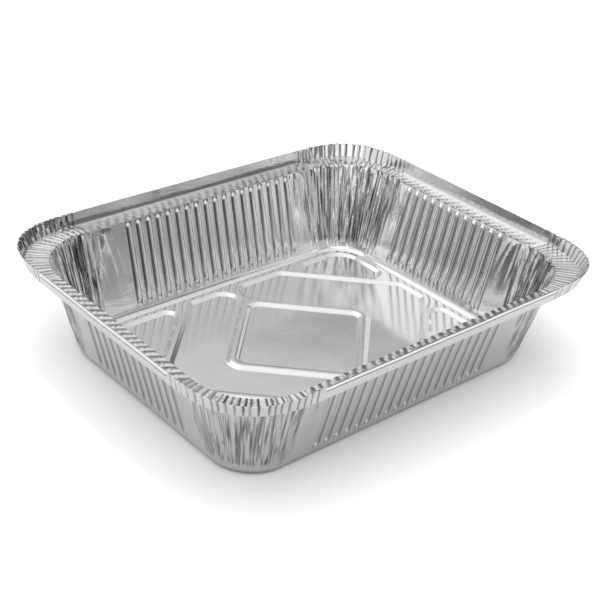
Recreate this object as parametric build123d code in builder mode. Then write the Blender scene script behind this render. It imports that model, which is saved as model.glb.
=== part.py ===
# Deep half-size foil tray: one sheet of aluminium foil, drawn into a tray with
# ribbed walls, crinkled corners, a lid ledge, a standing flange and a folded hem.
# Millimetres. The origin is the middle of the underside, +Z is up, X is the long way.

import os
from math import atan, cos, degrees, radians, sin

from build123d import *

# overall
rim_length = 324.0       # over the folded hems
rim_width = 264.7
height = 76.4
foil = 0.2               # sheet thickness

# folded hem along the straight part of the rim
hem_thick = 0.8
hem_tall = 3.0
hem_half_long = 98.0     # half of its run on a long side
hem_half_short = 68.0

# standing flange and the ledge at its foot
flange_height = 9.2
flange_spread = 1.5      # how far the flange leans out over its height
flange_corner = 50.0     # corner radius at the foot of the flange
ledge_width = 13.4

# walls and floor
wall_inset = 17.4        # how far the wall leans in from the ledge to the base
wall_corner = 46.4       # corner radius at the ledge
base_round = 5.0         # between the wall and the base
foot_width = 6.0         # the ring that the tray stands on
foot_slope = 30.0        # lean of the ring's inner side, degrees
floor_height = 4.6       # top of the floor beads

# long ribs pressed into the walls
rib_pitch = 8.4
rib_radius = 2.1
rib_depth = 1.5
rib_low = 11.0           # both ends are measured up the wall
rib_high = 63.0
long_ribs = 18
short_ribs = 12
# how far each wall's ribs are off its middle, by the way the wall faces
rib_shift = {0: 3.0, 90: 6.0, 180: 1.0, 270: -3.0}

# small folds in the corners of the wall and of the flange
fold_radius = 1.0
fold_depth = 0.7
fold_low = 12.0
fold_high = 64.0
folds = 15
pleat_radius = 1.4
pleat_depth = 0.8
pleats = 18
pleat_low = -3.0         # a pleat runs the whole height of the flange, out past both edges
pleat_high = flange_height + 4

# floor panels, sunk between raised beads
panel_depth = 2.0
panel_slope = 60.0
panel_round = 9.0
corner_panel_round = 18.0
bead_width = 2.0         # the narrow crest between two sloping sides
square_side = 84.5       # middle panel, turned by 45 degrees
# how far each corner's bead is from the pattern's middle, along X plus along Y
bead_reach = {(1, 1): 132.0, (-1, 1): 121.0, (1, -1): 124.0, (-1, -1): 112.0}
field_low = (-100.0, -77.0)   # the panels fill a rectangle between these corners
field_high = (118.0, 88.0)
pattern_shift = (4.0, 5.0)

# worked out from the sizes above
ledge_height = height - flange_height
flange_lean = flange_spread / flange_height
wall_lean = wall_inset / ledge_height
hem_stand = hem_thick - foil
flange_length = rim_length - 2 * (hem_stand + flange_spread)
flange_width = rim_width - 2 * (hem_stand + flange_spread)
base_length = flange_length - 2 * (ledge_width + wall_inset)
base_width = flange_width - 2 * (ledge_width + wall_inset)
base_corner = wall_corner - wall_inset


def capsule(radius, length):
    # a round-ended rod along Z, centred, that presses one fold into the sheet
    with BuildPart() as rod:
        with BuildSketch(Plane.XZ):
            SlotOverall(length, 2 * radius, rotation=90)
            split(bisect_by=Plane.YZ)
        revolve(axis=Axis.Z)
    return rod.part


def press_place(foot, turn, lean, low, high, stand_off):
    # where a rod lies against a leaning wall: its foot on the wall's lower edge,
    # the way the wall faces, and how far the rod's middle stands off the skin
    facing = Vector(cos(radians(turn)), sin(radians(turn)), 0)
    tilt = atan(lean)
    up_wall = facing * sin(tilt) + Vector(0, 0, cos(tilt))
    out = facing * cos(tilt) - Vector(0, 0, sin(tilt))
    middle = foot + up_wall * ((low + high) / 2) + out * stand_off
    return Plane(origin=middle, x_dir=out, z_dir=up_wall).location


def rib_feet():
    # evenly spaced feet along the four straight sides of the base
    feet = []
    for turn, shift in rib_shift.items():
        facing = Vector(cos(radians(turn)), sin(radians(turn)), 0)
        on_long_wall = turn in (90, 270)
        count = long_ribs if on_long_wall else short_ribs
        reach = base_width / 2 if on_long_wall else base_length / 2
        run = Vector(1, 0, 0) if on_long_wall else Vector(0, 1, 0)
        for index in range(count):
            along = shift + (index - (count - 1) / 2) * rib_pitch
            feet.append((facing * reach + run * along, turn))
    return feet


def corner_feet(length, width, corner, count, level):
    # evenly spaced feet round the four corners of an outline
    feet = []
    for quarter in range(4):
        start = 90 * quarter
        side_x = 1 if quarter in (0, 3) else -1
        side_y = 1 if quarter < 2 else -1
        centre = Vector(side_x * (length / 2 - corner), side_y * (width / 2 - corner), level)
        for index in range(count):
            turn = start + 90 * (index + 0.5) / count
            reach = Vector(cos(radians(turn)), sin(radians(turn)), 0) * corner
            feet.append((centre + reach, turn))
    return feet


def floor_block(grow):
    # the solid under the floor; grow is 0 for the sheet's lower skin, foil for its upper
    top = floor_height - foil + grow
    block_length = base_length - 2 * foot_width + 2 * grow
    block_width = base_width - 2 * foot_width + 2 * grow
    block_corner = base_corner - foot_width + grow
    field_length = field_high[0] - field_low[0] - 2 * grow
    field_width = field_high[1] - field_low[1] - 2 * grow
    field_middle = ((field_low[0] + field_high[0]) / 2, (field_low[1] + field_high[1]) / 2)
    with BuildPart() as block:
        with BuildSketch(Plane.XY):
            RectangleRounded(block_length, block_width, block_corner)
        extrude(amount=top, taper=foot_slope)
        with BuildSketch(Plane.XY.offset(top)):
            with Locations(field_middle):
                Rectangle(field_length, field_width)
            with Locations(pattern_shift):
                # the square bead round the middle panel
                full = square_side + 2 * bead_width + 2 * grow
                Rectangle(full, full, rotation=45, mode=Mode.SUBTRACT)
                # the beads from its front and back corners to the foot ring
                Rectangle(bead_width + 2 * grow, 2 * base_width, mode=Mode.SUBTRACT)
                Rectangle(square_side - 2 * grow, square_side - 2 * grow, rotation=45)
            # a slanting bead across each corner of the floor
            for (side_x, side_y), reach in bead_reach.items():
                middle = (
                    pattern_shift[0] + side_x * reach / 2,
                    pattern_shift[1] + side_y * reach / 2,
                )
                with Locations(middle):
                    Rectangle(
                        bead_width + 2 * grow,
                        base_length,
                        rotation=45 * side_x * side_y,
                        mode=Mode.SUBTRACT,
                    )
            by_reach = vertices().sort_by(lambda vertex: abs(vertex.X) + abs(vertex.Y))
            fillet(by_reach[-4:], corner_panel_round - grow)
            fillet(by_reach[:-4], panel_round - grow)
        extrude(amount=-panel_depth, taper=panel_slope, mode=Mode.SUBTRACT)
    return block.part


def skin(grow):
    # the solid inside one face of the sheet; grow is 0 for the outer face, foil for the inner
    level = grow
    foot_length = base_length + 2 * (wall_lean * level - grow)
    foot_breadth = base_width + 2 * (wall_lean * level - grow)
    flange_foot = ledge_height - foil + grow
    wall_angle = degrees(atan(wall_lean))
    flange_angle = degrees(atan(flange_lean))
    with BuildPart() as solid:
        with BuildSketch(Plane.XY.offset(level)):
            RectangleRounded(foot_length, foot_breadth, base_corner - grow)
        extrude(amount=flange_foot - level, taper=-wall_angle)
        fillet(solid.edges().group_by(Axis.Z)[0], base_round - grow)
        with BuildSketch(Plane.XY.offset(flange_foot)):
            RectangleRounded(
                flange_length - 2 * grow, flange_width - 2 * grow, flange_corner - grow
            )
        extrude(amount=height - flange_foot, taper=-flange_angle)
        add(floor_block(grow), mode=Mode.SUBTRACT)

        rib = capsule(rib_radius + grow, rib_high - rib_low + 2 * grow)
        stand_off = rib_radius - rib_depth
        with Locations(
            *[press_place(*foot, wall_lean, rib_low, rib_high, stand_off) for foot in rib_feet()]
        ):
            add(rib, mode=Mode.SUBTRACT)

        fold = capsule(fold_radius + grow, fold_high - fold_low + 2 * grow)
        feet = corner_feet(base_length, base_width, base_corner, folds, 0)
        stand_off = fold_radius - fold_depth
        with Locations(
            *[press_place(*foot, wall_lean, fold_low, fold_high, stand_off) for foot in feet]
        ):
            add(fold, mode=Mode.SUBTRACT)

        pleat = capsule(pleat_radius + grow, pleat_high - pleat_low + 2 * grow)
        feet = corner_feet(flange_length, flange_width, flange_corner, pleats, ledge_height)
        stand_off = pleat_radius - pleat_depth
        with Locations(
            *[press_place(*foot, flange_lean, pleat_low, pleat_high, stand_off) for foot in feet]
        ):
            add(pleat, mode=Mode.SUBTRACT)
    return solid.part


def hem(half_run, reach, turn):
    # the foil folded over on itself along one straight side of the flange
    facing = Vector(cos(radians(turn)), sin(radians(turn)), 0)
    middle = facing * (reach - hem_thick / 2) + Vector(0, 0, height - hem_tall / 2)
    section = Plane(origin=middle, x_dir=facing, z_dir=facing.cross(Vector(0, 0, 1)))
    with BuildPart() as fold:
        with BuildSketch(section):
            SlotOverall(hem_tall, hem_thick, rotation=90)
        extrude(amount=half_run, both=True)
    return fold.part


with BuildPart() as tray:
    add(skin(0))
    add(skin(foil), mode=Mode.SUBTRACT)
    for turn in (0, 180):
        add(hem(hem_half_short, rim_length / 2, turn))
    for turn in (90, 270):
        add(hem(hem_half_long, rim_width / 2, turn))

os.makedirs("parts", exist_ok=True)
tray.part.label = "tray"
export_step(tray.part, "parts/tray.step")
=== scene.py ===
# A deep foil tray: one pressed sheet with ribbed walls, crinkled corners and a folded hem.
import math
import random

import bpy
from mathutils import Matrix, Vector


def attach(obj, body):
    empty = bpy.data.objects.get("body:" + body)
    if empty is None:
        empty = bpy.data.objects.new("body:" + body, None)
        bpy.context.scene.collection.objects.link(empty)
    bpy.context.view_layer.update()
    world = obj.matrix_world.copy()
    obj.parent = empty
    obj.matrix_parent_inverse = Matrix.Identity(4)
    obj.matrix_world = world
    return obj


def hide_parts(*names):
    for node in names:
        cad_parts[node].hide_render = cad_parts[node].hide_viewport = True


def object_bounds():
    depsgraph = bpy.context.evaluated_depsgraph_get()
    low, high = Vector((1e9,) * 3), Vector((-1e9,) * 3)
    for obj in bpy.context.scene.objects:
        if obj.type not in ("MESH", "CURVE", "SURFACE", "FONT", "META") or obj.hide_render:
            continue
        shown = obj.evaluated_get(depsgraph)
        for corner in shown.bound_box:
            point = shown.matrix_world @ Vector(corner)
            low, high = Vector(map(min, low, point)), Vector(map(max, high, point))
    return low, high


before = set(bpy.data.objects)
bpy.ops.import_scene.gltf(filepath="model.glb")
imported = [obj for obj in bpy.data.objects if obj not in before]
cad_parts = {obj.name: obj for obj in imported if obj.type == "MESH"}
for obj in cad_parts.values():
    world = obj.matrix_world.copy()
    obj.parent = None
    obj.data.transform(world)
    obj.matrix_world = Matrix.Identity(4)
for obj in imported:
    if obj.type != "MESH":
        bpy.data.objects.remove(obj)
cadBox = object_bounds()
mm = 0.001
halfLong = cadBox[1][0] / mm      # half of the tray's length and width, in millimetres
halfShort = cadBox[1][1] / mm
tall = cadBox[1][2] / mm

tray = {                          # sizes in millimetres
    "foil": 0.2,
    "hemHalfRun": (98.0, 68.0),   # half the hem's run on a long and a short side
    "hemTall": 3.0,
    "hemThick": 0.75,
    "flangeTall": 9.2,
    "flangeSpread": 1.6,
    "rimCorner": 61.0,
    "rimBulge": 5.2,              # the rim's corners stand out past a plain arc
    "ledgeWidth": 13.4,
    "wallInset": 17.4,
    "wallCorner": 46.4,
    "baseRound": 5.0,
    "footWidth": 6.0,
    "footSlope": 2.5,             # how far the foot ring's inner side runs in as it rises
    "floorHeight": 4.6,
    # heights of the wall's rows, close together at the ribs' ends
    "wallLevels": (66.4, 65.2, 63.6, 61.5, 58.0, 53.5, 48.5, 43.0, 37.5, 32.0, 26.5, 21.0, 16.5,
                   13.2, 11.4, 9.8, 7.8),
    # how far along each narrow zone its rows lie, and the rise of the foot's rows
    "flangeParts": (0.3, 0.7, 1.0),
    "ledgeParts": (0.06, 0.2, 0.4, 0.6, 0.8, 0.93, 1.0),
    "roundParts": (0.0, 0.25, 0.5, 0.75, 1.0),
    "footParts": ((0.0, 0.0), (0.3, 0.16), (0.7, 0.84), (1.0, 1.0)),
    "cornerColumns": 84,
    "plainColumns": 20,
    "crispAngle": 24,             # folds sharper than this, in degrees, stay crisp
}

ribs = {
    "pitch": 8.4,
    "count": (18, 12),            # on a long and a short wall
    "shift": {"front": -3.0, "right": 3.0, "back": 6.0, "left": 1.0},
    "halfWidth": 2.2,
    "crest": 0.9,                 # half width of a rib's rounded top
    "depth": 1.5,
    "shoulder": 0.86,             # height of the crest's edge, as a share of the depth
    "hollow": 0.25,               # how far the foil between ribs bows out
    "pocket": 0.4,                # and how far it dips at the ribs' lower ends
    "pocketHeight": 9.8,
    "pocketSpread": 1.7,
    "hollowRange": (8, 14, 58, 66),   # heights between which the hollow grows, then fades
    "skirt": 0.35,                # the first plain foil beside a rib's foot
    "low": 8.5,
    "high": 64.5,
}

creases = {
    "seed": 4,
    "cornerDepth": 0.62,          # of the upright folds in the corner walls
    "knots": 6,                   # heights at which a corner fold changes its depth
    "swap": 0.8,                  # how often the next fold turns the other way
    "twist": 0.16,                # how often a fold turns over on its way down
    # how crumpled the fine surface is on plain foil and in the corners, zone by zone
    "crumple": {"wall": (0.03, 0.4), "ledge": (0.3, 0.5), "flange": (0.06, 0.4), "hem": (0.06, 0.4)},
    "floorCrumple": 0.03,
    "cornerReach": (3.0, 13.0),   # how far the folds spread over plain foil, at the bottom and top
    "pleatDepth": 1.3,            # of the pleats in the flange's corners
    "pleatGaps": (3, 4, 4, 5),    # columns from one pleat to the next
    "lumpDepth": 0.25,
    "edgeNotch": (0.35, 0.12),    # how far a pleat and a lump lower the flange's edge
    "cornerFlare": 1.6,           # the pleated corners lean out past the straight flange
    "ledgeDepth": 0.5,
    "ledgePitch": 6.6,            # of the slanting wrinkles along the straight ledge
    "ledgeSlant": 9.0,
    "sway": 0.22,                 # the flange isn't quite straight
    "swayWaves": (31, 17),        # how long its two slow waves are
    "wallSway": 0.25,
    "wallWaves": (23, 19),        # the same for the walls, round the tray and upwards
    "fanDepth": 1.0,
    "fanWidth": 1.05,
    # each fold's distance from the corner at the top, its slant, and its share of the depth
    "fans": ((5.0, 0.00, 1.0), (9.0, 0.12, -0.7), (12.5, 0.20, 0.9), (17.0, 0.26, 0.5)),
}

paintedShade = {                        # how dark the painted shade along each fold line is, from 0 to 1
    "hem": (1.0, 0.22),           # its lower edge, and the foil just above
    "pleat": 0.9,
    "ledge": 0.8,
    "rib": 0.85,
    "foot": 0.6,
}

floorPattern = {
    "middle": (4.0, 5.0),
    "squareSide": 84.5,
    "beadWidth": 2.0,             # the narrow crest between two sloping sides
    "reach": {(1, 1): 132.0, (-1, 1): 121.0, (-1, -1): 112.0, (1, -1): 124.0},
    "low": (-100.0, -77.0),
    "high": (118.0, 88.0),
    "round": 9.0,
    "cornerRound": 18.0,
    "stripRound": 1.6,            # an arrow's corners, as shares of "round": beside the middle bead,
    "tipRound": 0.7,              # at its two tips,
    "notchRound": 0.6,            # and where it meets the square
    "arcStep": 0.9,               # from one point of a rounded corner to the next
    # how far in and how far down each step of a panel's sloping side goes
    "steps": ((0.3, 0.03), (0.35, 0.13), (0.6, 0.38), (0.7, 0.48), (0.7, 0.48), (0.6, 0.34),
              (0.35, 0.12), (0.3, 0.02), (0.4, 0.0)),
}


def smooth(low, high, value):
    t = min(max((value - low) / (high - low), 0.0), 1.0)
    return t * t * (3 - 2 * t)


def mixed(a, b, t):
    return a + (b - a) * t


# the sheet has columns, going round the tray, and rows, going down its section

def wallStops(run, count, shift):
    # places along a straight wall, close together on each rib and wider on plain foil
    half = count * ribs["pitch"] / 2
    plain = tray["plainColumns"]
    wide = ribs["halfWidth"]
    crest = ribs["crest"]
    skirt = wide + ribs["skirt"]
    parts = (-ribs["pitch"] / 2, -skirt, -wide, -crest, 0.0, crest, wide, skirt)
    stops = [mixed(-run, shift - half, index / plain) for index in range(plain)]
    for index in range(count):
        middle = shift - half + ribs["pitch"] * (index + 0.5)
        stops += [middle + part for part in parts]
    return stops + [mixed(shift + half, run, index / plain) for index in range(plain)]


def makeColumns():
    # each column knows its side, its corner angle if it has one, and its distance round the rim
    inset = tray["hemThick"] + tray["flangeSpread"] + tray["ledgeWidth"]
    runs = (halfLong - inset - tray["wallCorner"], halfShort - inset - tray["wallCorner"])
    columns = []
    for turn, name in enumerate(("front", "right", "back", "left")):
        kind = turn % 2
        shift = ribs["shift"][name] * (1 if turn < 2 else -1)
        for along in wallStops(runs[kind], ribs["count"][kind], shift):
            columns.append({"turn": turn, "along": along, "run": runs[kind], "shift": shift})
        for index in range(tray["cornerColumns"]):
            angle = math.pi / 2 * index / tray["cornerColumns"]
            columns.append({"turn": turn, "angle": angle, "run": runs[kind], "shift": shift})
    return columns


def outline(column, inset, corner, bulge):
    # the point of a rounded outline on this column, and the way the outline faces there
    turn = column["turn"]
    quarter = math.radians(90 * turn - 90)
    facing = Vector((math.cos(quarter), math.sin(quarter), 0))
    onward = Vector((-facing.y, facing.x, 0))
    reach = (halfShort if turn % 2 == 0 else halfLong) - inset
    straight = (halfLong if turn % 2 == 0 else halfShort) - inset - corner
    if "angle" in column:
        angle = column["angle"]
        outward = facing * math.cos(angle) + onward * math.sin(angle)
        centre = facing * (reach - corner) + onward * straight
        return centre + outward * (corner + bulge * math.sin(2 * angle) ** 2), outward
    return facing * reach + onward * (column["along"] * straight / column["run"]), facing


def makeRows():
    # each row: its part of the sheet, inset from the widest outline, height, corner radius, bulge
    rows = []
    hem = tray["hemThick"]
    spread = tray["flangeSpread"]
    ledge = tall - tray["flangeTall"]
    top = hem + spread + tray["ledgeWidth"]
    rimCorner = tray["rimCorner"]

    def addRow(zone, part, inset, level, corner, bulge):
        rows.append({"zone": zone, "part": part, "inset": inset, "level": level,
                     "corner": corner, "bulge": bulge})

    for part, inset, drop in ((0.0, 0.1, 1.0), (0.25, 0.0, 0.55), (0.5, 0.04, 0.15), (0.75, 0.34, 0.0),
                              (1.0, hem, 0.08)):
        addRow("hem", part, inset, tall - drop * tray["hemTall"], rimCorner - inset, tray["rimBulge"])
    for part in tray["flangeParts"]:
        inset = hem + spread * part
        addRow("flange", part, inset, mixed(tall - 0.25, ledge, part), rimCorner - inset,
               tray["rimBulge"] - part)
    for part in tray["ledgeParts"]:
        corner = mixed(rimCorner - hem - spread, tray["wallCorner"], part)
        addRow("ledge", part, hem + spread + tray["ledgeWidth"] * part, ledge, corner,
               mixed(tray["rimBulge"] - 1, 1.0, part))
    for up in tray["wallLevels"]:
        inward = tray["wallInset"] * (1 - up / ledge)
        addRow("wall", up, top + inward, up, tray["wallCorner"] - inward, up / ledge)
    # the round between wall and base, then the foot ring and its sloping inner side
    radius = tray["baseRound"]
    lean = math.atan(tray["wallInset"] / ledge)
    middle = top + tray["wallInset"] * (1 - (tray["foil"] + radius) / ledge) + radius / math.cos(lean)
    for step in tray["roundParts"]:
        angle = mixed(lean, math.pi / 2, step)
        inset = middle - radius * math.cos(angle)
        addRow("base", step, inset, tray["foil"] + radius * (1 - math.sin(angle)),
               tray["wallCorner"] + top - inset, 0)
    edge = top + tray["wallInset"] + tray["footWidth"]
    for part, rise in tray["footParts"]:
        inset = edge + tray["footSlope"] * part
        addRow("foot", part, inset, mixed(tray["foil"], tray["floorHeight"], rise),
               tray["wallCorner"] + top - inset, 0)
    inset = edge + tray["footSlope"] + 0.7
    addRow("floor", 1, inset, tray["floorHeight"], tray["wallCorner"] + top - inset, 0)
    return rows


# ribs, folds and pleats

def cornerShare(column):
    # whether the column is in a corner, and how far it is from the end of its straight side
    if "angle" in column:
        return True, 0.0
    return False, column["run"] - abs(column["along"])


def offRib(column):
    # distance from the middle of the nearest rib, or nothing where there are no ribs
    if "angle" in column:
        return None
    half = ribs["count"][column["turn"] % 2] * ribs["pitch"] / 2
    place = column["along"] - column["shift"] + half
    if not 0 < place < 2 * half:
        return None
    return abs(place % ribs["pitch"] - ribs["pitch"] / 2)


def ribLift(column, up):
    # how far a rib stands into the tray here
    off = offRib(column)
    wide = ribs["halfWidth"]
    crest = ribs["crest"]
    shoulder = ribs["shoulder"]
    if off is None:
        return 0.0
    if off > wide + 0.1:
        # the foil between two ribs bows out a little
        fromPocket = (up - ribs["pocketHeight"]) / ribs["pocketSpread"]
        pocket = ribs["pocket"] * math.exp(-fromPocket ** 2)
        starts, full, fades, ends = ribs["hollowRange"]
        bow = ribs["hollow"] * smooth(starts, full, up) * (1 - smooth(fades, ends, up))
        return -(bow + pocket) * (off - wide) / 2
    lift = ribs["depth"] * mixed(1.0, shoulder, off / crest)
    if off > crest:
        lift = ribs["depth"] * shoulder * (wide - off) / (wide - crest)
    low = ribs["low"]
    high = ribs["high"]
    return max(lift, 0) * smooth(low - 0.8, low + 1.8, up) * (1 - smooth(high - 1, high + 1.8, up))


def ribShade(column, up):
    # painted shade: a narrow dark line along each side of a rib, where shade falls beside it
    off = offRib(column)
    if off is None:
        return 0.0
    near = abs(off - ribs["halfWidth"]) < 0.1
    low = ribs["low"]
    high = ribs["high"]
    return paintedShade["rib"] * near * smooth(low - 2, low, up) * (1 - smooth(high, high + 1.8, up))


def choosePleats(columns):
    # in each corner, some columns are pleats, each with its own depth
    draw = random.Random(creases["seed"])
    pleats = []
    wait = 2
    for column in columns:
        wait -= 1
        creased = "angle" in column and wait <= 0
        if creased:
            wait = draw.choice(creases["pleatGaps"])
        pleats.append(draw.uniform(0.6, 1.0) if creased else 0.0)
    return pleats


def makeFolds(columns):
    # sharp upright folds for the corner walls: in or out by turns, their depth changing with height
    draw = random.Random(creases["seed"] + 2)
    folds = []
    side = 1
    for _ in columns:
        side = -side if draw.random() < creases["swap"] else side
        knots = []
        turned = side
        for _ in range(creases["knots"] + 1):
            turned = -turned if draw.random() < creases["twist"] else turned
            knots.append(turned * draw.uniform(0.15, 1.0))
        folds.append(knots)
    return folds


def foldAt(knots, share):
    # a fold's depth at this share of the wall's height
    place = min(max(share, 0), 0.999) * creases["knots"]
    index = int(place)
    return mixed(knots[index], knots[index + 1], place - index)


def fanCrease(past, up):
    # a few soft folds that fan out from the top of the corner over the plain foil
    total = 0.0
    for start, slant, size in creases["fans"]:
        off = past - start - slant * (66 - up)
        total += size * math.exp(-(off / creases["fanWidth"]) ** 2)
    return total * creases["fanDepth"] * smooth(24, 52, up) * (1 - smooth(62, 67, up))


def rimDistances(columns):
    # distance round the rim at each column, used to space the wrinkles evenly
    around = []
    length = 0.0
    last = None
    for column in columns:
        here, _ = outline(column, 8, tray["rimCorner"] - 8, tray["rimBulge"])
        if last is not None:
            length += (here - last).length
        last = here
        around.append(length)
    return around


def shapeRim(zone, part, column, inset, level, spot):
    # the hem and the standing flange: folded over on the straights, pleated in the corners, with painted
    # shade under the hem and in the pleats
    inCorner, _ = cornerShare(column)
    folded = 0.0
    if not inCorner:
        folded = smooth(-0.8, 0.8, tray["hemHalfRun"][column["turn"] % 2] - abs(column["along"]))
    share = part
    paintedDark = 0.0
    if zone == "hem":
        share = 0.0
        inset = mixed(tray["hemThick"] * 0.75 + 0.2 * part, inset, folded)
        level = mixed(tall - 0.1 - 0.9 * part, level, folded)
        # painted shade under the hem's folded edge, and a lighter painted shade on the foil just above it
        edge, above = paintedShade["hem"]
        paintedDark = (edge if part == 0 else above) * folded * (part < 0.5)
    if inCorner:
        pleat = spot["pleat"]
        lump = spot["lump"]
        # painted shade in the pleats
        paintedDark = max(paintedDark, paintedShade["pleat"] * pleat)
        swell = math.sin(2 * column["angle"]) ** 0.5 if column["angle"] > 0 else 0
        started = min(1, swell * 2)
        inset -= creases["cornerFlare"] * (1 - share) * swell ** 2
        fold = creases["pleatDepth"] * pleat + creases["lumpDepth"] * lump
        inset += fold * mixed(1, 0.5, share) * started
        if zone == "hem":
            deep, shallow = creases["edgeNotch"]
            level -= (deep * pleat + shallow * (1 + lump)) * started * (1 - part * 0.5)
    distance = spot["distance"]
    slow, quick = creases["swayWaves"]
    sway = creases["sway"] * (1 + math.sin(distance / slow + 1.3) * math.sin(distance / quick))
    return inset + sway * (1 - share), level, paintedDark


def shapeLedge(part, column, inset, level, spot):
    # pleats in the corners, slanting wrinkles on the inner part of the straights, with painted shade in the
    # pleats and along the wrinkles
    inCorner, _ = cornerShare(column)
    lump = spot["lump"]
    wave = 1.3 * spot["pleat"] - 0.35 + 0.3 * lump
    # painted shade in the pleats
    paintedDark = paintedShade["ledge"] * spot["pleat"]
    if not inCorner:
        distance = spot["distance"]
        slanted = distance - creases["ledgeSlant"] * part + 1.5 * math.sin(distance / 13)
        wave = math.sin(math.tau * slanted / creases["ledgePitch"])
        wave *= smooth(0.25, 0.5, part) * (0.75 + 0.25 * lump)
        # painted shade along the wrinkles
        paintedDark = paintedShade["ledge"] * smooth(0.1, 0.9, wave)
    edges = smooth(0.0, 0.2, part) * (1 - 0.35 * smooth(0.85, 1.0, part))
    return inset, level + creases["ledgeDepth"] * wave * edges, paintedDark


def shapeWall(up, column, inset, level, spot):
    # ribs, plain foil with fan folds beside them, and crumpled corners, with painted shade in the folds'
    # hollows and beside the ribs
    ledge = tall - tray["flangeTall"]
    lean = math.atan(tray["wallInset"] / ledge)
    inCorner, past = cornerShare(column)
    reach = mixed(*creases["cornerReach"], (up / ledge) ** 0.7)
    size = 1.0 if inCorner else 1 - smooth(reach - 4, reach, past)
    fold = foldAt(spot["knots"], up / ledge) * smooth(3, 12, up) * (1 - smooth(64.5, 67, up) * 0.5)
    inward = ribLift(column, up) + creases["cornerDepth"] * size * fold
    # painted shade in the corner folds' hollows and along the ribs' sides
    paintedDark = max(size * smooth(0.25, 0.9, -fold), ribShade(column, up))
    if not inCorner:
        inward += fanCrease(past, up) * (1 - size * 0.7)
    onward, upward = creases["wallWaves"]
    roll = math.sin(spot["distance"] / onward + 2) * math.sin(up / upward)
    inward += creases["wallSway"] * roll * smooth(0, 20, up)
    return inset + inward * math.cos(lean), level + inward * math.sin(lean), paintedDark


def shapeSheet(columns, rows):
    # where every point of the sheet goes, row by row, and how much painted shade the foil gets there
    folds = makeFolds(columns)
    pleats = choosePleats(columns)
    draw = random.Random(creases["seed"] + 1)
    lumps = [draw.uniform(-1, 1) for _ in columns]
    around = rimDistances(columns)
    spots = [{"distance": distance, "pleat": pleat, "lump": lump, "knots": knots}
             for distance, pleat, lump, knots in zip(around, pleats, lumps, folds)]
    places = []
    paintedDarks = []
    for row in rows:
        zone = row["zone"]
        part = row["part"]
        for column, spot in zip(columns, spots):
            inset = row["inset"]
            level = row["level"]
            paintedDark = 0.0
            if zone in ("hem", "flange"):
                inset, level, paintedDark = shapeRim(zone, part, column, inset, level, spot)
            elif zone == "ledge":
                inset, level, paintedDark = shapeLedge(part, column, inset, level, spot)
            elif zone == "wall":
                inset, level, paintedDark = shapeWall(part, column, inset, level, spot)
            elif zone == "base":
                # painted shadow along the lowest line of the base round, where the tray meets the table
                paintedDark = paintedShade["foot"] * (part == 1.0)
            corner = max(row["corner"] - (inset - row["inset"]), 1)
            point, _ = outline(column, inset, corner, row["bulge"])
            places.append((point.x * mm, point.y * mm, level * mm))
            paintedDarks.append(paintedDark)
    return places, paintedDarks


# the sheet itself

def creaseShare(column, row):
    # how crumpled the foil is here, for the fine surface: most in the corners, least on the floor
    inCorner, past = cornerShare(column)
    near = 1.0 if inCorner else 1 - smooth(0, 9, past)
    zone = row["zone"]
    if zone not in creases["crumple"]:
        return creases["floorCrumple"]
    share = mixed(*creases["crumple"][zone], near)
    return share * smooth(4, 14, row["part"]) if zone == "wall" else share


def selectOnly(piece):
    bpy.ops.object.select_all(action="DESELECT")
    piece.select_set(True)
    bpy.context.view_layer.objects.active = piece


def makeSheet():
    # a ring of edges is extruded once for each row, then the rows are pulled to their places
    columns = makeColumns()
    rows = makeRows()
    bpy.ops.object.select_all(action="DESELECT")
    bpy.ops.mesh.primitive_circle_add(vertices=len(columns), radius=0.2, fill_type="NOTHING")
    sheet = bpy.context.object
    sheet.name = "foilTray"
    drop = 0.01                   # from one ring to the next, until the rings are placed
    bpy.ops.object.mode_set(mode="EDIT")
    bpy.ops.mesh.select_all(action="SELECT")
    for _ in rows[1:]:
        bpy.ops.mesh.extrude_region_move(TRANSFORM_OT_translate={"value": (0, 0, -drop)})
    bpy.ops.object.mode_set(mode="OBJECT")
    places, paintedDarks = shapeSheet(columns, rows)
    start = math.atan2(sheet.data.vertices[0].co.y, sheet.data.vertices[0].co.x)
    orders = []
    for vertex in sheet.data.vertices:
        row = round(-vertex.co.z / drop)
        turn = math.atan2(vertex.co.y, vertex.co.x) - start
        column = round(turn / math.tau * len(columns)) % len(columns)
        orders.append((row, column))
        vertex.co = places[row * len(columns) + column]
    # the fold attribute carries the painted shade of the ribs, folds, pleats, hem and foot; crease only
    # sets the fine crumple
    for name in ("crease", "fold"):
        sheet.data.attributes.new(name, "FLOAT", "POINT")
    for index, (row, column) in enumerate(orders):
        sheet.data.attributes["crease"].data[index].value = creaseShare(columns[column], rows[row])
        sheet.data.attributes["fold"].data[index].value = paintedDarks[row * len(columns) + column]
    print("sheet:", len(columns), "columns,", len(rows), "rows")
    return sheet


def roundedOutline(corners):
    # corners are (x, y, radius), going anticlockwise; each is turned into a short arc
    points = []
    for index, (x, y, radius) in enumerate(corners):
        before = Vector(corners[index - 1][:2])
        here = Vector((x, y))
        after = Vector(corners[(index + 1) % len(corners)][:2])
        back = (before - here).normalized()
        onward = (after - here).normalized()
        half = back.angle(onward) / 2
        cut = radius / math.tan(half)
        centre = here + (back + onward).normalized() * radius / math.sin(half)
        first = here + back * cut - centre
        last = here + onward * cut - centre
        sweep = first.angle_signed(last)
        count = max(4, round(abs(sweep) * radius / floorPattern["arcStep"]))
        for step in range(count + 1):
            arm = first.copy()
            arm.rotate(Matrix.Rotation(-sweep * step / count, 2))
            points.append(centre + arm)
    return points


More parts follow.
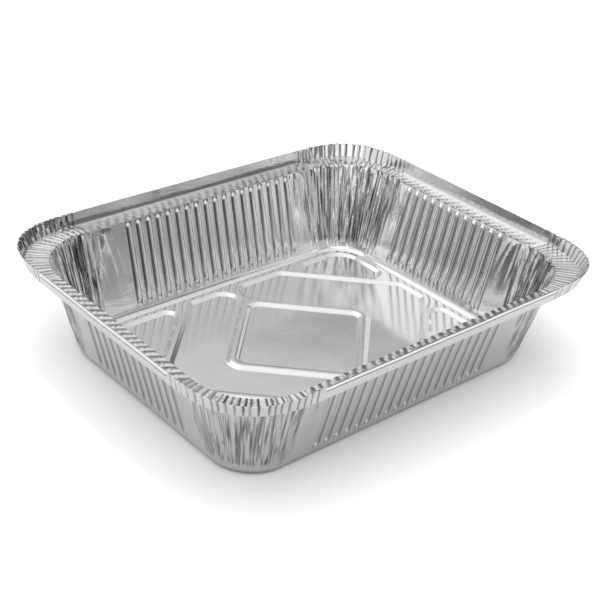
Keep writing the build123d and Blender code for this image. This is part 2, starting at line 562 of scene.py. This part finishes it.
def panelOutlines():
    # the middle square, a wide arrow each side of it, and a triangle in each corner
    midX, midY = floorPattern["middle"]
    lowX, lowY = floorPattern["low"]
    highX, highY = floorPattern["high"]
    bead = floorPattern["beadWidth"]
    soft = floorPattern["round"]
    stripSoft = soft * floorPattern["stripRound"]
    tipSoft = soft * floorPattern["tipRound"]
    notchSoft = soft * floorPattern["notchRound"]
    square = floorPattern["squareSide"] / math.sqrt(2)
    outer = square + bead * math.sqrt(2)
    step = bead / math.sqrt(2)
    panels = [[(midX + square, midY, soft), (midX, midY + square, soft), (midX - square, midY, soft),
               (midX, midY - square, soft)]]
    for side in (1, -1):
        edge = highX if side == 1 else lowX
        strip = midX + side * bead / 2
        above = floorPattern["reach"][(side, 1)]
        below = floorPattern["reach"][(side, -1)]
        reachUp = highY - midY
        reachDown = midY - lowY
        across = abs(edge - midX)
        arrow = [
            (strip, lowY, stripSoft),
            (midX + side * (below - step - reachDown), lowY, soft),
            (edge, midY - (below - step - across), tipSoft),
            (edge, midY + (above - step - across), tipSoft),
            (midX + side * (above - step - reachUp), highY, soft),
            (strip, highY, stripSoft),
            (strip, midY + outer - bead / 2, notchSoft),
            (midX + side * outer, midY, soft),
            (strip, midY - outer + bead / 2, notchSoft),
        ]
        panels.append(arrow if side == 1 else arrow[::-1])
        for lift, reach, level, run in ((1, above, highY, reachUp), (-1, below, lowY, reachDown)):
            corner = [
                (midX + side * (reach + step - run), level, soft),
                (edge, midY + lift * (reach + step - across), soft),
                (edge, level, floorPattern["cornerRound"]),
            ]
            panels.append(corner if side * lift == -1 else corner[::-1])
    return [roundedOutline(panel) for panel in panels]


def signedArea(points):
    return sum(a.x * b.y - b.x * a.y for a, b in zip(points, points[1:] + points[:1])) / 2


def makePanel(points):
    # one sunk panel: its outline as a face, inset and lowered a step at a time
    if signedArea(points) < 0:
        points = points[::-1]
    bpy.ops.object.select_all(action="DESELECT")
    bpy.ops.mesh.primitive_circle_add(vertices=len(points), radius=0.01, fill_type="NGON")
    panel = bpy.context.object
    face = panel.data.polygons[0]
    order = list(face.vertices)
    if face.normal.z < 0:
        order = order[::-1]
    for index, point in zip(order, points):
        panel.data.vertices[index].co = (point.x * mm, point.y * mm, tray["floorHeight"] * mm)
    bpy.ops.object.mode_set(mode="EDIT")
    bpy.ops.mesh.select_all(action="SELECT")
    bpy.ops.mesh.normals_make_consistent(inside=False)
    bpy.ops.object.mode_set(mode="OBJECT")
    if panel.data.polygons[0].normal.z < 0:
        panel.data.flip_normals()
    bpy.ops.object.mode_set(mode="EDIT")
    bpy.ops.mesh.select_all(action="SELECT")
    for inward, down in floorPattern["steps"]:
        bpy.ops.mesh.inset(thickness=inward * mm, depth=-down * mm, use_boundary=True, use_even_offset=True)
    bpy.ops.object.mode_set(mode="OBJECT")
    return panel


def fillFloor(sheet):
    # joins the panels to the sheet and fills the level floor between them
    panels = [makePanel(points) for points in panelOutlines()]
    bpy.ops.object.select_all(action="DESELECT")
    for panel in panels:
        panel.select_set(True)
    sheet.select_set(True)
    bpy.context.view_layer.objects.active = sheet
    bpy.ops.object.join()
    bpy.ops.object.mode_set(mode="EDIT")
    bpy.ops.mesh.select_mode(type="EDGE")
    bpy.ops.mesh.select_all(action="DESELECT")
    bpy.ops.object.mode_set(mode="OBJECT")
    uses = {}
    for face in sheet.data.polygons:
        for key in face.edge_keys:
            uses[key] = uses.get(key, 0) + 1
    level = tray["floorHeight"] * mm
    chosen = 0
    for edge in sheet.data.edges:
        ends = [sheet.data.vertices[index].co.z for index in edge.vertices]
        edge.select = uses.get(edge.key, 0) == 1 and all(abs(z - level) < 1e-6 for z in ends)
        chosen += edge.select
    bpy.ops.object.mode_set(mode="EDIT")
    bpy.ops.mesh.fill(use_beauty=True)
    bpy.ops.mesh.select_all(action="SELECT")
    bpy.ops.mesh.normals_make_consistent(inside=False)
    bpy.ops.object.mode_set(mode="OBJECT")
    lowest = min(sheet.data.polygons, key=lambda face: face.center.xy.length)
    if lowest.normal.z < 0:
        sheet.data.flip_normals()
    print("floor:", len(panels), "panels,", chosen, "edges filled between")


def finishSheet(sheet):
    # a real thickness behind the drawn face, and smooth shading with crisp folds
    selectOnly(sheet)
    bpy.ops.object.modifier_add(type="SOLIDIFY")
    solidify = sheet.modifiers[-1]
    solidify.thickness = tray["foil"] * mm
    solidify.offset = -1
    solidify.use_even_offset = False
    solidify.material_offset = 1
    solidify.material_offset_rim = 0
    bpy.ops.object.modifier_apply(modifier=solidify.name)
    bpy.ops.object.shade_smooth_by_angle(angle=math.radians(tray["crispAngle"]))
    triangles = sum(len(face.vertices) - 2 for face in sheet.data.polygons)
    print("finished sheet:", triangles, "triangles")


# foil finish
foilDetail = {
    # each texture: scale, detail, and how it is stretched along the tray, across it and upwards
    "broad": (22, 1, (1, 1, 0.6)),
    "crumple": (330, 2, (1, 1, 0.22)),
    "flakes": (120, 2, (1, 1, 0.5)),
    "grain": (1400, 1, (0.05, 1, 1)),
    "smudge": (14, 4, (1, 1, 1)),
    # how much of each goes into the surface's height
    "broadHeight": 0.35,
    "crumpleHeight": 0.30,
    "flakesHeight": 0.45,
    "grainHeight": 0.03,
    "tone": (0.94, 0.1),          # the plain tint, and how much the smudges add to it
    "floorDull": 0.035,           # extra roughness of the rolled floor
    "floorBand": (0.0048, 0.0070),
    # heights over which the painted shadow at the lowest edge grows
    "edgeShadowBand": (0.0045, 0.0008),
}

foilLooks = {
    "foilInside": {
        "colour": (0.77, 0.775, 0.78),
        "Grain": 1.0,
        "Shade": 0.92,            # how dark the painted shade on the fold lines gets
        "EdgeShadow": 0.0,              # how dark the painted shadow at the lowest edge gets
        "Low": 0.045,             # roughness, from polished to smudged
        "High": 0.11,
        "bump": 0.001,
    },
    "foilOutside": {
        # the outer face is darker: partly its duller finish, partly painted shade standing for the shaded
        # table it reflects
        "colour": (0.53, 0.535, 0.54),
        "Grain": 1.0,
        "Shade": 0.75,
        "EdgeShadow": 0.75,
        "Low": 0.15,
        "High": 0.26,
        "bump": 0.001,
    },
}


def makeFoilSurface():
    # fine crinkle, rolling grain, smudges, and painted shade on the folds and at the lowest edge, shared by
    # both faces of the foil
    group = bpy.data.node_groups.new("foilSurface", "ShaderNodeTree")
    for name in ("Crease", "Grain", "Fold", "Shade", "EdgeShadow", "Low", "High"):
        group.interface.new_socket(name=name, in_out="INPUT", socket_type="NodeSocketFloat")
    for name in ("Height", "Roughness", "Tone"):
        group.interface.new_socket(name=name, in_out="OUTPUT", socket_type="NodeSocketFloat")
    nodes, links = group.nodes, group.links
    entry = nodes.new("NodeGroupInput")
    leave = nodes.new("NodeGroupOutput")
    place = nodes.new("ShaderNodeTexCoord")

    def addNoise(name):
        scale, detail, stretch = foilDetail[name]
        mapping = nodes.new("ShaderNodeMapping")
        mapping.inputs["Scale"].default_value = stretch
        noise = nodes.new("ShaderNodeTexNoise")
        noise.inputs["Scale"].default_value = scale
        noise.inputs["Detail"].default_value = detail
        links.new(place.outputs["Object"], mapping.inputs["Vector"])
        links.new(mapping.outputs["Vector"], noise.inputs["Vector"])
        return noise.outputs["Fac"]

    def addMath(operation, first, second):
        node = nodes.new("ShaderNodeMath")
        node.operation = operation
        for socket, value in zip(node.inputs, (first, second)):
            if isinstance(value, (int, float)):
                socket.default_value = value
            else:
                links.new(value, socket)
        return node.outputs[0]

    def addBand(value, band, low, high):
        spread = nodes.new("ShaderNodeMapRange")
        spread.inputs["From Min"].default_value = band[0]
        spread.inputs["From Max"].default_value = band[1]
        spread.inputs["To Min"].default_value = low
        spread.inputs["To Max"].default_value = high
        links.new(value, spread.inputs["Value"])
        return spread.outputs["Result"]

    broad, crumple, flakes, grain, smudge = (
        addNoise(name) for name in ("broad", "crumple", "flakes", "grain", "smudge"))
    crumpled = addMath("MULTIPLY", crumple, foilDetail["crumpleHeight"])
    folds = addMath("ADD", crumpled, addMath("MULTIPLY", flakes, foilDetail["flakesHeight"]))
    folds = addMath("MULTIPLY", folds, entry.outputs["Crease"])
    lines = addMath("MULTIPLY", grain, foilDetail["grainHeight"])
    lines = addMath("MULTIPLY", lines, entry.outputs["Grain"])
    calm = addMath("ADD", addMath("MULTIPLY", broad, foilDetail["broadHeight"]), lines)
    links.new(addMath("ADD", folds, calm), leave.inputs["Height"])
    spread = addMath("SUBTRACT", entry.outputs["High"], entry.outputs["Low"])
    rough = addMath("ADD", entry.outputs["Low"], addMath("MULTIPLY", spread, smudge))
    height = nodes.new("ShaderNodeSeparateXYZ")
    links.new(place.outputs["Object"], height.inputs[0])
    # the level foil of the floor is a little duller than the walls
    dull = addBand(height.outputs["Z"], foilDetail["floorBand"], foilDetail["floorDull"], 0.0)
    links.new(addMath("ADD", rough, dull), leave.inputs["Roughness"])
    # painted shadow along the lowest edge, where the foil turns under onto the table
    edgeShadowMask = addBand(height.outputs["Z"], foilDetail["edgeShadowBand"], 0.0, 1.0)
    edge = addMath("SUBTRACT", 1.0, addMath("MULTIPLY", entry.outputs["EdgeShadow"], edgeShadowMask))
    # painted shade from the fold attribute, darkening the base colour
    folded = addMath("MULTIPLY", entry.outputs["Fold"], entry.outputs["Shade"])
    shade = addMath("SUBTRACT", 1.0, folded)
    plain, smudged = foilDetail["tone"]
    tone = addMath("ADD", plain, addMath("MULTIPLY", smudge, smudged))
    links.new(addMath("MULTIPLY", addMath("MULTIPLY", tone, shade), edge), leave.inputs["Tone"])
    return group


def makeFoil(name, surface, look):
    material = bpy.data.materials.new(name)
    material.use_nodes = True
    nodes, links = material.node_tree.nodes, material.node_tree.links
    shader = nodes["Principled BSDF"]
    shader.inputs["Metallic"].default_value = 1.0
    grouped = nodes.new("ShaderNodeGroup")
    grouped.node_tree = surface
    for key in ("Grain", "Shade", "EdgeShadow", "Low", "High"):
        grouped.inputs[key].default_value = look[key]
    # the fold attribute brings in the painted shade
    for key in ("Crease", "Fold"):
        share = nodes.new("ShaderNodeAttribute")
        share.attribute_name = key.lower()
        links.new(share.outputs["Fac"], grouped.inputs[key])
    tint = nodes.new("ShaderNodeVectorMath")
    tint.operation = "SCALE"
    tint.inputs[0].default_value = look["colour"]
    links.new(grouped.outputs["Tone"], tint.inputs["Scale"])
    links.new(tint.outputs[0], shader.inputs["Base Color"])
    links.new(grouped.outputs["Roughness"], shader.inputs["Roughness"])
    bump = nodes.new("ShaderNodeBump")
    bump.inputs["Distance"].default_value = look["bump"]
    bump.inputs["Strength"].default_value = 1.0
    links.new(grouped.outputs["Height"], bump.inputs["Height"])
    links.new(bump.outputs["Normal"], shader.inputs["Normal"])
    return material


sheet = makeSheet()
fillFloor(sheet)
surface = makeFoilSurface()
for name, look in foilLooks.items():
    sheet.data.materials.append(makeFoil(name, surface, look))
print("foil finish ready")
finishSheet(sheet)
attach(sheet, "root")
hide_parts("tray")


# studio: pale floor, soft light, camera
studio = {
    "floorColour": (0.93, 0.93, 0.935),
    "floorSize": 12.0,
    "floorRough": 0.6,
    "worldLight": 1.0,
    # each soft light of the room: the way to it, then its brightness from behind to straight ahead
    "roomLights": {
        "height": ((0, 0, 1), ((0.0, 0.0), (0.56, 0.02), (0.70, 0.18), (0.742, 0.14), (0.785, 0.74),
                               (0.92, 0.74), (1.0, 0.95))),
        "side": ((-0.74, 0.67, 0.0), ((0.0, 0.03), (0.45, 0.08), (0.62, 0.28), (0.85, 0.75),
                                      (1.0, 0.8))),
        "front": ((-0.55, -0.79, 0.27), ((0.0, 0.0), (0.91, 0.0), (0.968, 1.1), (1.0, 2.6))),
    },
    # each lamp: place, size, power
    "lamps": {
        "overheadSoftbox": ((0.0, 0.2, 2.0), (2.2, 2.2), 19.0),
        "frontFill": ((-1.2, -1.6, 1.5), (2.0, 1.6), 8.0),
        "rightFill": ((1.6, -1.0, 1.4), (1.6, 1.6), 7.0),
    },
    "camera": {
        "turn": -42.27,           # degrees round the tray, up from the table, and tilted
        "rise": 29.8,
        "roll": 4.05,
        "far": 0.91731,           # metres from the point it looks at
        "aim": (0.04088, 0.04686, 0.0),
        "lens": 73.98,
    },
}


def makeFloor():
    bpy.ops.object.select_all(action="DESELECT")
    bpy.ops.mesh.primitive_plane_add(size=studio["floorSize"], location=(0, 0, 0))
    ground = bpy.context.object
    ground.name = "studioFloor"
    material = bpy.data.materials.new("studioFloor")
    material.use_nodes = True
    shader = material.node_tree.nodes["Principled BSDF"]
    shader.inputs["Base Color"].default_value = (*studio["floorColour"], 1)
    shader.inputs["Roughness"].default_value = studio["floorRough"]
    shader.inputs["Specular IOR Level"].default_value = 0.0
    ground.data.materials.append(material)


def makeLamp(name, place, size, power):
    bpy.ops.object.select_all(action="DESELECT")
    bpy.ops.object.light_add(type="AREA", location=place)
    lamp = bpy.context.object
    lamp.name = name
    lamp.data.shape = "RECTANGLE"
    lamp.data.size = size[0]
    lamp.data.size_y = size[1]
    lamp.data.energy = power
    lamp.visible_glossy = False     # it lights the table and leaves no glare on the foil
    lamp.rotation_euler = (-Vector(place)).to_track_quat("-Z", "Y").to_euler()


def makeWorld():
    # a soft studio: bright overhead, at one side and in front, dim at table height elsewhere
    world = bpy.data.worlds.new("studio")
    bpy.context.scene.world = world
    world.use_nodes = True
    nodes, links = world.node_tree.nodes, world.node_tree.links
    back = nodes["Background"]
    place = nodes.new("ShaderNodeTexCoord")

    def addRamp(along, stops):
        reach = nodes.new("ShaderNodeVectorMath")
        reach.operation = "DOT_PRODUCT"
        reach.inputs[1].default_value = along
        ramp = nodes.new("ShaderNodeValToRGB")
        ramp.color_ramp.interpolation = "B_SPLINE"
        links.new(place.outputs["Generated"], reach.inputs[0])
        shift = nodes.new("ShaderNodeMapRange")
        shift.inputs["From Min"].default_value = -1
        links.new(reach.outputs["Value"], shift.inputs["Value"])
        links.new(shift.outputs["Result"], ramp.inputs["Fac"])
        for index, (stop, grey) in enumerate(stops):
            marks = ramp.color_ramp.elements
            mark = marks[index] if index < 2 else marks.new(stop)
            mark.position = stop
            mark.color = (grey, grey, grey, 1)
        return ramp.outputs["Color"]

    total = addRamp(*studio["roomLights"]["height"])
    for name in ("side", "front"):
        blend = nodes.new("ShaderNodeVectorMath")
        blend.operation = "ADD"
        links.new(total, blend.inputs[0])
        links.new(addRamp(*studio["roomLights"][name]), blend.inputs[1])
        total = blend.outputs[0]
    links.new(total, back.inputs["Color"])
    back.inputs["Strength"].default_value = studio["worldLight"]


def makeCamera():
    view = studio["camera"]
    turn, rise, roll = (math.radians(view[key]) for key in ("turn", "rise", "roll"))
    back = Vector((math.sin(turn) * math.cos(rise), -math.cos(turn) * math.cos(rise), math.sin(rise)))
    right = Vector((math.cos(turn), math.sin(turn), 0))
    up = back.cross(right)
    tiltedRight = right * math.cos(roll) + up * math.sin(roll)
    tiltedUp = up * math.cos(roll) - right * math.sin(roll)
    camera = bpy.data.objects.new("camera", bpy.data.cameras.new("camera"))
    bpy.context.collection.objects.link(camera)
    axes = Matrix((tiltedRight, tiltedUp, back)).transposed()
    camera.matrix_world = Matrix.Translation(Vector(view["aim"]) + back * view["far"]) @ axes.to_4x4()
    camera.data.sensor_width = 36
    camera.data.lens = view["lens"]
    bpy.context.scene.camera = camera


makeFloor()
makeWorld()
for name, (place, size, power) in studio["lamps"].items():
    makeLamp(name, place, size, power)
makeCamera()
bpy.context.scene.view_settings.view_transform = "Standard"
print("studio ready")
